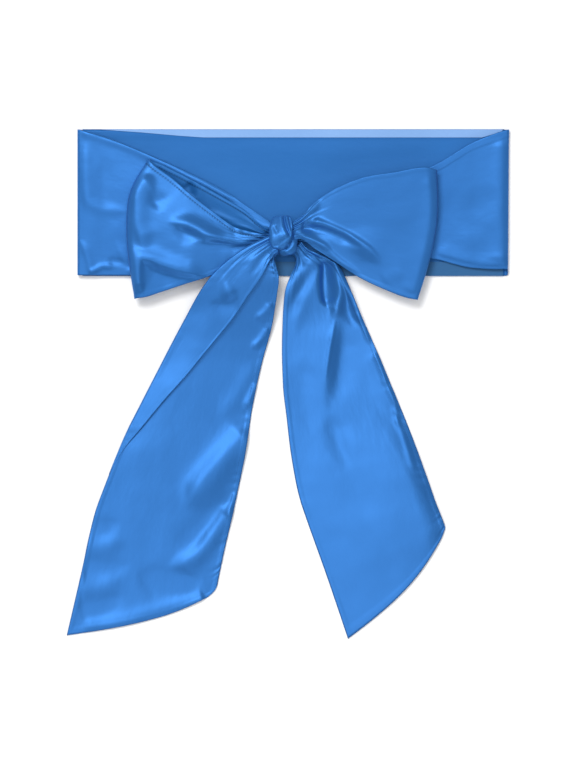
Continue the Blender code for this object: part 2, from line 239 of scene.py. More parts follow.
@dataclass
class Stretch:
    """A stretch of the sash, lofted through its ribs.

    turn is the index of the rib at which a folded stretch goes over from its back layer to its
    front layer; pleats counts the gathers across, crowd shifts them to one side and roll, from 0 to
    1, rounds the section like a bundle's; corner is the radius of its end corner at edge b.
    """

    name: str
    ribs: tuple[Rib, ...]
    creases: tuple[Crease, ...] = ()
    turn: int = 0
    pleats: float = 4.0
    crowd: float = 0.12
    roll: float = 0.0
    cell: float = 1.4
    hems: Hems = Hems()
    ripple: float = 0.22
    ripple_size: float = 34.0
    seed: float = 1.0
    floor: float = TABLE_LIFT
    corner: float = 0.0
    table: np.ndarray = field(init=False, repr=False)
    stations: np.ndarray = field(init=False, repr=False)

    def __post_init__(self) -> None:
        """Works out how far along the stretch each rib lies."""
        self.table = np.array([[getattr(rib, f.name) for f in fields(Rib)] for rib in self.ribs])
        rise = np.diff(self.table[:, LIFT_COLUMN])
        runs = [np.hypot(np.diff(self.table[:, i]), np.diff(self.table[:, i + 1])) for i in (0, 2)]
        steps = (np.hypot(runs[0], rise) + np.hypot(runs[1], rise)) / 2
        self.stations = np.concatenate([[0.0], np.cumsum(steps)])

    @property
    def length(self) -> float:
        """Length along the middle of the stretch."""
        return float(self.stations[-1])

    def columns(self, u: np.ndarray) -> list[np.ndarray]:
        """Every rib value at shares u of the length."""
        place = u * self.length
        return [curve_through(self.stations, column, place) for column in self.table.T]

    def front_share(self, u: np.ndarray) -> np.ndarray:
        """1 on the front layer and 0 on the back layer, going over at the turn.

        Args:
            u: shares of the length.

        Returns:
            The share at each place.
        """
        if not self.turn:
            return np.ones_like(u)
        turn_at = self.stations[self.turn]
        return smooth_step((u * self.length - turn_at) / LAYER_CHANGE + 0.5)

    def shape(self, u: np.ndarray, v: np.ndarray) -> np.ndarray:
        """The middle surface.

        Args:
            u: shares of the length, from the first rib to the last.
            v: shares of the width, from edge a to edge b.

        Returns:
            An array of points, one row each.
        """
        place = u - smooth_step(u * 3 - 2) * self.corner_cut(v)
        ax, ay, bx, by, lift, crown, bow, bow_at, pleat, tip, crown_at = self.columns(place)
        across = v + self.roll * ((1 - np.cos(np.pi * v)) / 2 - v)
        run_x, run_y = bx - ax, by - ay
        width = np.hypot(run_x, run_y)
        out = bow * swell(across, bow_at)
        x = ax + run_x * across + run_y / width * out
        y = ay + run_y * across - run_x / width * out
        z = lift + tip * across + crown * swell(v, crown_at)
        waves = v + self.crowd * np.sin(2 * np.pi * (v + 0.13 * self.seed))
        gather = np.sin(2 * np.pi * self.pleats * waves + self.seed)
        gather += 0.45 * np.sin(2 * np.pi * (1.7 * self.pleats) * waves + 2.3 * self.seed)
        z = z + pleat * gather
        front = self.front_share(u)
        for crease in self.creases:
            share = front if crease.layer is Layer.FRONT else 1 - front
            z = z + share * crease.height_at(x, y)
        z = z + self.ripples(x, y) + self.puckers(u, v, width)
        return np.stack([x, y, self.laid(z)], axis=-1)

    def laid(self, z: np.ndarray) -> np.ndarray:
        """Heights kept off the table, eased where the cloth comes to rest."""
        above = z - self.floor
        return self.floor + (above + np.sqrt(above**2 + EASE**2)) / 2

    def corner_cut(self, v: np.ndarray) -> np.ndarray:
        """How much shorter the stretch is near edge b, as a share, where its end corner is rounded.

        Args:
            v: shares of the width.

        Returns:
            What is taken off, as a share of the length.
        """
        if not self.corner:
            return np.zeros_like(v)
        last = self.table[-1]
        off = (1 - v) * math.hypot(last[2] - last[0], last[3] - last[1])
        inside = np.clip(self.corner - off, 0.0, self.corner)
        return (self.corner - np.sqrt(self.corner**2 - inside**2)) / self.length

    def ripples(self, x: np.ndarray, y: np.ndarray) -> np.ndarray:
        """The low uneven waves of cloth that was handled.

        Args:
            x: places to the right.
            y: places towards the upper edge.

        Returns:
            Their height at each point.
        """
        size = self.ripple_size
        depth = 7.3 * self.seed
        flat = [
            noise.noise(Vector((px / size, py / size, depth)))
            + 0.35 * noise.noise(Vector((px * 2.3 / size, py * 2.3 / size, depth + 4)))
            for px, py in zip(x.ravel().tolist(), y.ravel().tolist())
        ]
        return 2.0 * self.ripple * np.array(flat).reshape(x.shape)

    def edge_distances(
        self, u: np.ndarray, v: np.ndarray, width: np.ndarray
    ) -> list[tuple[np.ndarray, float, np.ndarray, float]]:
        """Distance from each hemmed edge, the depth of its hem, the place along it and its sinking.

        Args:
            u: shares of the length.
            v: shares of the width.
            width: the width at each place.

        Returns:
            A row of these for each hem.
        """
        found = []
        along = u * self.length
        if self.hems.a:
            found.append((v * width, self.hems.a, along, self.hems.drawn_a))
        if self.hems.b:
            found.append(((1 - v) * width, self.hems.b, along, self.hems.drawn_b))
        if self.hems.end:
            found.append(((1 - u) * self.length, self.hems.end, v * width, END_STITCH_SUNK))
        return found

    def puckers(self, u: np.ndarray, v: np.ndarray, width: np.ndarray) -> np.ndarray:
        """The small uneven waves that the hem's thread draws into the edges.

        Args:
            u: shares of the length.
            v: shares of the width.
            width: the width at each place.

        Returns:
            Their height at each point.
        """
        place = u * self.length / self.hems.pitch + self.seed
        total = np.zeros_like(u)
        sides = ((self.hems.pucker_a, v * width, 0.3), (self.hems.pucker_b, (1 - v) * width, 1.9))
        for depth, off, start in sides:
            beat = np.sin(2 * np.pi * (place + 0.55 * np.sin(place * 1.9 + start)))
            uneven = 0.5 + 0.5 * np.sin(place * 1.37 + start)
            total += depth * beat * uneven * np.exp(-((off / PUCKER_REACH) ** 2))
        return total

    def grid(self) -> tuple[int, int]:
        """Cells along and across."""
        widest = np.hypot(self.table[:, 2] - self.table[:, 0], self.table[:, 3] - self.table[:, 1]).max()
        return math.ceil(self.length / self.cell), math.ceil(widest / self.cell)

    def facing(self) -> bool:
        """Whether u and v turn the grid's upper side up on the front layer.

        Returns:
            True where the upper side is up.
        """
        u = np.array([0.82, 0.83, 0.82])
        v = np.array([0.5, 0.5, 0.52])
        here, ahead, beside = self.shape(u, v)
        return float(np.cross(ahead - here, beside - here)[2]) > 0

    def mesh(self) -> bpy.types.Mesh:
        """The stretch as a mesh in metres, with its map, its hem marks and its hem weights.

        Returns:
            The mesh.
        """
        along, across = self.grid()
        sheet = bmesh.new()
        bmesh.ops.create_grid(sheet, x_segments=along, y_segments=across, size=1.0)
        places = np.array([vertex.co[:2] for vertex in sheet.verts])
        u, v = (places[:, 0] + 1) / 2, (places[:, 1] + 1) / 2
        points = self.shape(u, v)
        lay_map(sheet, u * self.length * MM, v * SASH_WIDTH * MM)
        edges = self.columns(u)
        width = np.hypot(edges[2] - edges[0], edges[3] - edges[1])
        marks = self.hem_marks(u, v, width)
        stitch = sheet.verts.layers.float.new("stitch_line")
        run = sheet.verts.layers.float.new("stitch_run")
        deform = sheet.verts.layers.deform.new()
        for vertex, point, (line, along_hem, weight) in zip(sheet.verts, points, marks):
            vertex.co = point * MM
            vertex[stitch] = ATTRIBUTE_FAR - line
            vertex[run] = along_hem
            vertex[deform][0] = weight
        if not self.facing():
            bmesh.ops.reverse_faces(sheet, faces=sheet.faces)
        for face in sheet.faces:
            face.smooth = True
        return mesh_from(sheet, self.name)

    def hem_marks(self, u: np.ndarray, v: np.ndarray, width: np.ndarray) -> list[tuple[float, float, float]]:
        """For each point: distance to the stitch line, place along it, and 1 inside a hem.

        Args:
            u: shares of the length.
            v: shares of the width.
            width: the width at each place.

        Returns:
            A row for each point.
        """
        line = np.full(u.shape, ATTRIBUTE_FAR)
        run = np.zeros_like(u)
        weight = np.zeros_like(u)
        for off, depth, along, drawn in self.edge_distances(u, v, width):
            distance = np.abs(off - depth) + drawn
            run = np.where(distance < line, along, run)
            line = np.minimum(line, distance)
            weight = np.maximum(weight, smooth_step((depth - off) / 0.8 + 0.5))
        return list(zip(line.tolist(), run.tolist(), weight.tolist()))


@dataclass
class TurnedSide(Stretch):
    """The side of a tail turned over onto it, which starts at the tail's folded edge.

    reaches says how far across the tail the turned side comes, at shares of the tail's length.
    """

    tail: Stretch | None = None
    reaches: tuple[tuple[float, float], ...] = ()
    roll_share: float = 0.07
    roll_radius: float = 1.1
    stand: float = 3.2
    tail_width: float = 95.0

    def tail_share(self, u: np.ndarray) -> np.ndarray:
        """Share of the tail's length at a share of this side's length."""
        first, last = self.reaches[0][0], self.reaches[-1][0]
        return first + (last - first) * u

    def reach(self, u: np.ndarray) -> np.ndarray:
        """How far across the tail the free edge lies."""
        table = np.array(self.reaches)
        return curve_through(table[:, 0], table[:, 1], self.tail_share(u))

    def shape(self, u: np.ndarray, v: np.ndarray) -> np.ndarray:
        """The middle surface, up round the folded edge and back over the tail.

        Args:
            u: shares of the length.
            v: shares of the width, from the folded edge.

        Returns:
            An array of points, one row each.
        """
        share = self.tail_share(u)
        turning = np.clip(v / self.roll_share, 0.0, 1.0)
        over = np.clip((v - self.roll_share) / (1 - self.roll_share), 0.0, 1.0)
        across = self.reach(u) * over
        under = self.tail.shape(share, across)
        edges = self.tail.columns(share)
        run_x, run_y = edges[2] - edges[0], edges[3] - edges[1]
        width = np.hypot(run_x, run_y)
        radius = self.roll_radius * np.minimum(1.0, self.reach(u) / 0.1)
        out = radius * np.sin(np.pi * turning)
        standing = self.stand * np.minimum(1.0, 2.5 * self.reach(u)) * over**1.3
        x, y = under[..., 0] - run_x / width * out, under[..., 1] - run_y / width * out
        z = under[..., 2] + radius * (1 - np.cos(np.pi * turning)) + standing
        for crease in self.creases:
            z = z + smooth_step(6 * over) * crease.height_at(x, y)
        return np.stack([x, y, z], axis=-1)

    def grid(self) -> tuple[int, int]:
        """Cells along and across, by the widest reach."""
        widest = max(reach for _, reach in self.reaches) * self.tail_width
        return math.ceil(self.length / self.cell), math.ceil(widest / self.cell)


def mesh_from(shape: bmesh.types.BMesh, name: str) -> bpy.types.Mesh:
    """Turns a worked shape into a named mesh, and frees the shape.

    Args:
        shape: the worked shape.
        name: the mesh's name.

    Returns:
        The mesh.
    """
    made = bpy.data.meshes.new(name)
    shape.to_mesh(made)
    shape.free()
    return made


def placed(name: str, mesh: bpy.types.Mesh) -> bpy.types.Object:
    """The mesh as an object in the scene.

    Args:
        name: the object's name.
        mesh: its mesh.

    Returns:
        The object.
    """
    made = bpy.data.objects.new(name, mesh)
    bpy.context.scene.collection.objects.link(made)
    return made


def lay_map(sheet: bmesh.types.BMesh, along: np.ndarray, across: np.ndarray) -> None:
    """Gives a grid its cloth map, in metres along and across the sash.

    Args:
        sheet: the grid.
        along: place along the sash, for each point.
        across: place across it, for each point.
    """
    layer = sheet.loops.layers.uv.new("cloth")
    sheet.verts.index_update()
    for face in sheet.faces:
        for loop in face.loops:
            i = loop.vert.index
            loop[layer].uv = (along[i], across[i])


class Graph:
    """A material's nodes, added and wired in one step."""

    def __init__(self, name: str) -> None:
        """Starts an empty graph that ends in a Principled shader.

        Args:
            name: the material's name.
        """
        self.material = bpy.data.materials.new(name)
        self.material.use_nodes = True
        self.tree = self.material.node_tree
        self.shader = self.tree.nodes["Principled BSDF"]

    def add(self, kind: str, settings: dict | None = None, **links: object) -> bpy.types.Node:
        """Adds a node.

        Args:
            kind: the node's type.
            settings: its properties.
            **links: sockets by name with spaces as underscores; a socket is linked, a value is set.

        Returns:
            The node.
        """
        node = self.tree.nodes.new(kind)
        for key, value in (settings or {}).items():
            setattr(node, key, value)
        for key, value in links.items():
            self.put(node, key.replace("_", " "), value)
        return node

    def put(self, node: bpy.types.Node, key: str | int, value: object) -> None:
        """Links a socket to an output, or sets its value.

        Args:
            node: the node.
            key: the name or number of its socket.
            value: an output or a plain value.
        """
        if isinstance(value, bpy.types.NodeSocket):
            self.tree.links.new(value, node.inputs[key])
        else:
            node.inputs[key].default_value = value

    def maths(self, operation: str, *values: object) -> bpy.types.NodeSocket:
        """The result of a sum on one to three values or sockets.

        Args:
            operation: the sum.
            *values: its terms, as values or outputs.

        Returns:
            The result.
        """
        node = self.tree.nodes.new("ShaderNodeMath")
        node.operation = operation
        for i, value in enumerate(values):
            self.put(node, i, value)
        return node.outputs[0]

    def blend(self, share: object, low: object, high: object) -> bpy.types.NodeSocket:
        """A colour between two colours.

        Args:
            share: how far towards high.
            low: the first colour.
            high: the second colour.

        Returns:
            The blended colour.
        """
        node = self.add("ShaderNodeMix", {"data_type": "RGBA"})
        self.put(node, 0, share)
        self.put(node, 6, low)
        self.put(node, 7, high)
        return node.outputs[2]

    def noise(
        self, place: bpy.types.NodeSocket, size: float, stretch: float = 1.0, detail: float = 2.0
    ) -> bpy.types.NodeSocket:
        """Even noise with spots of a size in metres, drawn out along the sash by stretch.

        Args:
            place: the coordinates.
            size: size of a spot across.
            stretch: how much longer a spot is along.
            detail: how fine its smallest parts are.

        Returns:
            The noise, about 0 to 1.
        """
        mapping = self.add("ShaderNodeMapping", Vector=place, Scale=(1 / (size * stretch), 1 / size, 1.0))
        made = self.add("ShaderNodeTexNoise", Vector=mapping.outputs[0], Scale=1.0, Detail=detail)
        return made.outputs["Fac"]


@dataclass(frozen=True)
class Satin:
    """A satin finish: long floats that shine along the sash, with hems, a fine weave and painted shade
    darkening its stitch grooves.
    """

    name: str
    colour: tuple[float, float, float]
    deep: tuple[float, float, float]
    roughness: float
    metallic: float
    sheen: float = 0.1
    tint: tuple[float, float, float] = (0.45, 0.7, 1.0)
    weave_bump: float = 0.25

    def make(self) -> bpy.types.Material:
        """The finish as a material.

        Returns:
            The material.
        """
        graph = Graph(self.name)
        place = graph.add("ShaderNodeUVMap", {"uv_map": "cloth"}).outputs[0]
        floats = graph.noise(place, 0.00045, 9.0, 1.0)
        clouds = graph.noise(place, 0.045, 1.6, 3.0)
        dimples = graph.noise(place, 0.007, 1.7, 2.0)
        marked = graph.add("ShaderNodeAttribute", {"attribute_name": "stitch_line"}).outputs["Fac"]
        stitch = graph.maths("SUBTRACT", ATTRIBUTE_FAR, marked)
        square = graph.maths("MULTIPLY", stitch, stitch)
        groove = graph.maths("EXPONENT", graph.maths("MULTIPLY", square, -STITCH_NARROWNESS))
        run = graph.add("ShaderNodeAttribute", {"attribute_name": "stitch_run"}).outputs["Fac"]
        beat = graph.maths("SINE", graph.maths("MULTIPLY", run, 2 * math.pi / STITCH_PITCH))
        gap = graph.maths("MAXIMUM", beat, -0.2)
        crown = graph.maths("MAXIMUM", graph.maths("MULTIPLY", beat, -1.0), 0.0)
        thread = graph.maths("MULTIPLY", groove, crown)
        fine = graph.maths("MULTIPLY", floats, 0.45)
        shade = graph.maths("ADD", graph.maths("MULTIPLY", clouds, 0.55), fine)
        dashed = graph.maths("MULTIPLY", groove, graph.maths("ADD", graph.maths("MULTIPLY", gap, 0.45), 0.7))
        span = graph.add("ShaderNodeMapRange", Value=shade)
        for key, value in (("From Min", 0.3), ("From Max", 0.7), ("To Min", 0.0), ("To Max", 1.0)):
            span.inputs[key].default_value = value
        cloth = graph.blend(span.outputs[0], (*self.deep, 1.0), (*self.colour, 1.0))
        # The dashed stitch groove darkens the colour towards 0.3 of the deep tone: painted shade in the
        # groove.
        shadow = tuple(0.30 * part for part in self.deep)
        colour = graph.blend(graph.maths("MULTIPLY", dashed, 0.8), cloth, (*shadow, 1.0))
        shader = graph.shader
        graph.put(shader, "Base Color", colour)
        rough = graph.maths("ADD", graph.maths("MULTIPLY", floats, 0.10), self.roughness - 0.05)
        graph.put(shader, "Roughness", rough)
        dents = graph.maths("MULTIPLY", dimples, 0.9)
        height = graph.maths("ADD", graph.maths("MULTIPLY", floats, 0.10), dents)
        height = graph.maths("SUBTRACT", height, graph.maths("MULTIPLY", dashed, 0.9))
        height = graph.maths("ADD", height, graph.maths("MULTIPLY", thread, 0.8))
        bump = graph.add("ShaderNodeBump", Strength=self.weave_bump, Distance=0.0006, Height=height)
        graph.put(shader, "Normal", bump.outputs[0])
        along = graph.add("ShaderNodeTangent", {"direction_type": "UV_MAP", "uv_map": "cloth"})
        graph.put(shader, "Tangent", along.outputs[0])
        shader.inputs["Anisotropic"].default_value = SHINE_ALONG
        shader.inputs["Metallic"].default_value = self.metallic
        shader.inputs["Specular Tint"].default_value = (*self.tint, 1.0)
        shader.inputs["Sheen Weight"].default_value = self.sheen
        shader.inputs["Sheen Roughness"].default_value = 0.4
        shader.inputs["Sheen Tint"].default_value = (*self.tint, 1.0)
        return graph.material


@dataclass
class Finishes:
    """Every finish of the sash, made once; the hem strips get one wrong-side cloth, paler as painted light
    on the top strip and greyer as painted shade on the bottom strip.
    """

    face: bpy.types.Material = field(init=False)
    reverse: bpy.types.Material = field(init=False)
    # Pale copy of the wrong-side cloth for the top hem strip: painted light.
    hem: bpy.types.Material = field(init=False)
    # Greyer, darker copy of the wrong-side cloth for the bottom hem strip: painted shade.
    low_hem: bpy.types.Material = field(init=False)

    def __post_init__(self) -> None:
        """Makes the materials."""
        self.face = Satin(
            "satin_face", (0.0285, 0.159, 0.480), (0.024, 0.143, 0.435), roughness=0.43, metallic=0.5
        ).make()
        self.reverse = Satin(
            "satin_reverse", (0.018, 0.138, 0.434), (0.015, 0.124, 0.394),
            roughness=0.52, metallic=0.25, sheen=0.08,
        ).make()
        # Top hem strip: the wrong-side cloth made paler, painted light on the strip.
        self.hem = Satin(
            "satin_hem", (0.24, 0.42, 0.76), (0.20, 0.37, 0.70), roughness=0.5, metallic=0.1, sheen=0.2
        ).make()
        # Bottom hem strip: the wrong-side cloth made greyer and darker, painted shade on the strip.
        self.low_hem = Satin(
            "satin_low_hem", (0.030, 0.125, 0.30), (0.024, 0.105, 0.26), roughness=0.55, metallic=0.1
        ).make()


@dataclass
class Cloth:
    """A finished piece of cloth: its stretch, what it stands for and how it was cut."""

    stretch: Stretch
    nodes: tuple[str, ...]
    slot: str
    cut: tuple[float, float]
    held: str
    area: float | None = None
    rests_on: tuple[str, ...] = ()

    def build(self, outer: bpy.types.Material, inner: bpy.types.Material) -> bpy.types.Object:
        """Makes the piece.

        Args:
            outer: the finish of its face.
            inner: the finish of its back.

        Returns:
            The object.
        """
        made = placed(self.stretch.name, self.stretch.mesh())
        made.data.materials.append(outer)
        made.data.materials.append(inner)
        made.vertex_groups.new(name="hem")
        wall = made.modifiers.new("cloth_layers", "SOLIDIFY")
        wall.thickness = HEM_CLOTH * MM
        wall.offset = 0.0
        wall.vertex_group = "hem"
        wall.thickness_vertex_group = CLOTH / HEM_CLOTH
        wall.material_offset = 1
        wall.use_rim = True
        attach(made, "root")
        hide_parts(*self.nodes)
        LOG.info("%s: %d faces", made.name, len(made.data.polygons))
        return made

    def declare(self, made: bpy.types.Object, sewn: tuple[bpy.types.Object, ...] = ()) -> None:
        """Does nothing: how the cloth was cut and how it lies are not passed on.

        Args:
            made: the piece; not used.
            sewn: pieces that belong to it; not used.
        """


@dataclass
class Band:
    """The band: its back panel with two hem strips, and the two front halves folded over it."""

    finishes: Finishes

    left_ribs: tuple[Rib, ...] = (
        Rib(LEFT_FOLD + 4.6, 262, LEFT_FOLD + 4.6, 112.4, 0.6),
        Rib(LEFT_FOLD + 1.2, 262, LEFT_FOLD + 1.2, 112.4, 1.2),
        Rib(LEFT_FOLD, 262, LEFT_FOLD, 112.2, 3.8),
        Rib(LEFT_FOLD + 1.6, 261.8, LEFT_FOLD + 1.6, 112, 6.4),
        Rib(-206, 259.6, -206, 112, 6.9, 0.5),
        Rib(-187, 254, -187, 112, 5.6, 0.6),
        Rib(-140, 235, -140, 112, 4.9, 0.2),
        Rib(-92, 213, -92, 116, 4.9),
        Rib(-62, 197, -60, 124, 5.2, pleat=0.08),
        Rib(-42, 183, -40, 133, 6, pleat=0.25),
        Rib(-14, 164, -14, 144, 8, pleat=0.6),
    )
    left_creases: tuple[Crease, ...] = (
        Crease(((-213, 259.5), (-187, 251.5), (-159, 241.5), (-137, 231.5), (-108, 217.5), (-77, 202),
                (-50, 187)),
               0.9, 2.2, 4.0, (8, 18)),
        Crease(((-207.5, 252), (-208.5, 215), (-206, 190), (-192, 180), (-164, 177)), 1, 6.5, 5.5, (24, 20)),
        Crease(((-214, 150), (-205, 128), (-202, 113)), 0.8, 5, 3, (16, 4)),
        Crease(((-204, 113), (-189, 121.5), (-176, 120)), 1.1, 3, 3.2, (4, 10)),
        Crease(((-186, 128), (-172, 126), (-158, 118)), -1, 3.5, 4.5, (8, 8)),
        Crease(((-190, 236), (-186, 196), (-176, 160)), -0.8, 11, 9, (28, 28)),
        Crease(((-178, 150), (-168, 128), (-160, 112)), 0.7, 6, 4, (18, 6)),
        Crease(((-30, 160), (-62, 178), (-96, 196)), 0.9, 3, 3.6, (0, 26)),
        Crease(((-30, 152), (-70, 150), (-104, 160)), 0.8, 4, 4, (0, 26)),
    )
    right_ribs: tuple[Rib, ...] = (
        Rib(RIGHT_FOLD - 4.6, 262, RIGHT_FOLD - 4.6, 111.8, 0.6),
        Rib(RIGHT_FOLD - 1.2, 262, RIGHT_FOLD - 2, 111.8, 1.2),
        Rib(RIGHT_FOLD, 262, RIGHT_FOLD - 1, 114, 3.8),
        Rib(RIGHT_FOLD - 1.6, 261.6, RIGHT_FOLD - 1.6, 118.4, 6.4),
        Rib(215, 258.4, 215, 118.2, 6.9, 0.6),
        Rib(190, 248.5, 190, 119.6, 5.6, 0.6),
        Rib(156, 228, 152, 128.6, 4.9, 0.2),
        Rib(110, 206, 108, 136, 4.9),
        Rib(68, 190, 68, 140, 5.2, pleat=0.1),
        Rib(36, 177, 36, 143, 6, pleat=0.7),
        Rib(8, 164, 8, 148, 8, pleat=0.9),
    )
    right_creases: tuple[Crease, ...] = (
        Crease(((220, 254), (220, 220), (219.5, 180), (220, 150), (219.5, 124)), 1.2, 5.5, 9, (12, 8)),
        Crease(((214, 204), (200, 186), (172, 180)), -0.8, 14, 15, (20, 30)),
        Crease(((226, 124.5), (204, 124.5), (182, 128.5), (150, 137)), 1, 3.4, 10, (4, 16)),
        Crease(((206, 160), (190, 148), (168, 146)), 0.8, 12, 12, (20, 20)),
        Crease(((30, 160), (62, 172), (110, 190)), 0.9, 3.4, 3, (0, 26)),
    )
    top_hem: tuple[tuple[float, float], ...] = (
        (-193, 262.2), (-151, 259.2), (-110, 255.6), (-86, 254.0), (200, 254.0),
        (221.0, 260.2), (221.0, 262.2),
    )

    def back_panel(self) -> Cloth:
        """The panel that lies on the table, between the two turned ends.

        Returns:
            The panel.
        """
        left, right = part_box("band_back")[0].x / MM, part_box("band_back")[1].x / MM
        steps = [left + (right - left) * i / 6 for i in range(7)]
        ribs = tuple(Rib(x, BAND_TOP, x, BAND_BOTTOM, 0.72) for x in steps)
        creases = (
            Crease(((-96, 232), (-20, 214), (70, 222), (150, 236)), -0.4, 12, 12, (30, 30)),
            Crease(((-60, 246), (40, 240), (160, 247)), 0.35, 10, 10, (40, 40)),
        )
        sheet = Stretch("back_panel", ribs, creases, cell=2.6, ripple=0.12, ripple_size=52, seed=2.0,
                        hems=Hems(a=8.5, b=14.5))
        return Cloth(sheet, ("band_back",), "satin_reverse", (0.151, 0.436), "laid")

    def halves(self) -> tuple[Cloth, Cloth]:
        """The two front halves, folded over at the band's ends and gathered into the knot.

        Returns:
            The left half and the right half.
        """
        left = Stretch("front_left", self.left_ribs, self.left_creases, seed=3.0, pleats=3.0)
        right = Stretch("front_right", self.right_ribs, self.right_creases, seed=4.0, hems=Hems(a=8.0),
                        pleats=3.0)
        return (
            Cloth(left, ("band_left",), "satin_face", (0.151, 0.213), "folded", 0.0225),
            Cloth(right, ("band_right",), "satin_face", (0.151, 0.235), "folded", 0.0245),
        )

    def strip(
        self, name: str, node: str, outline: tuple[tuple[float, float], ...], finish: bpy.types.Material
    ) -> bpy.types.Object:
        """A hem's turned-in strip, flat on the back panel.

        Args:
            name: the piece's name.
            node: the CAD node that it stands for.
            outline: its corners.
            finish: its material, whose colour carries painted light on the top strip and painted shade on
                the bottom strip.

        Returns:
            The object.
        """
        low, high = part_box(node)
        strip = bmesh.new()
        corners = [strip.verts.new((x * MM, y * MM, low.z + 0.25 * MM)) for x, y in outline]
        face = strip.faces.new(corners)
        face.normal_update()
        if face.normal.z < 0:
            face.normal_flip()
        for place in np.arange(low.x, high.x, 9 * MM)[1:]:
            geometry = strip.verts[:] + strip.edges[:] + strip.faces[:]
            bmesh.ops.bisect_plane(strip, geom=geometry, plane_co=(place, 0, 0), plane_no=(1, 0, 0))
        layer = strip.loops.layers.uv.new("cloth")
        for found in strip.faces:
            for loop in found.loops:
                loop[layer].uv = loop.vert.co.xy
        made = placed(name, mesh_from(strip, name))
        made.data.materials.append(finish)
        wall = made.modifiers.new("cloth_layers", "SOLIDIFY")
        wall.thickness = CLOTH * MM
        wall.offset = 0.0
        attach(made, "root")
        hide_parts(node)
        LOG.info("%s: hem strip", name)
        return made

    def build(self) -> None:
        """Makes the band."""
        back = self.back_panel()
        made = back.build(self.finishes.reverse, self.finishes.face)
        # The top strip takes the pale painted-light copy of the wrong-side cloth.
        top = self.strip("top_hem_strip", "band_top_hem", self.top_hem, self.finishes.hem)
        low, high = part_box("band_bottom_hem")
        outline = tuple(
            (x / MM, y / MM) for x, y in ((low.x, low.y), (high.x, low.y), (high.x, high.y), (low.x, high.y))
        )
        # The bottom strip takes the grey painted-shade copy of the wrong-side cloth.
        bottom = self.strip("bottom_hem_strip", "band_bottom_hem", outline, self.finishes.low_hem)
        back.declare(made, (top, bottom))
        for half in self.halves():
            half.declare(half.build(self.finishes.face, self.finishes.reverse))


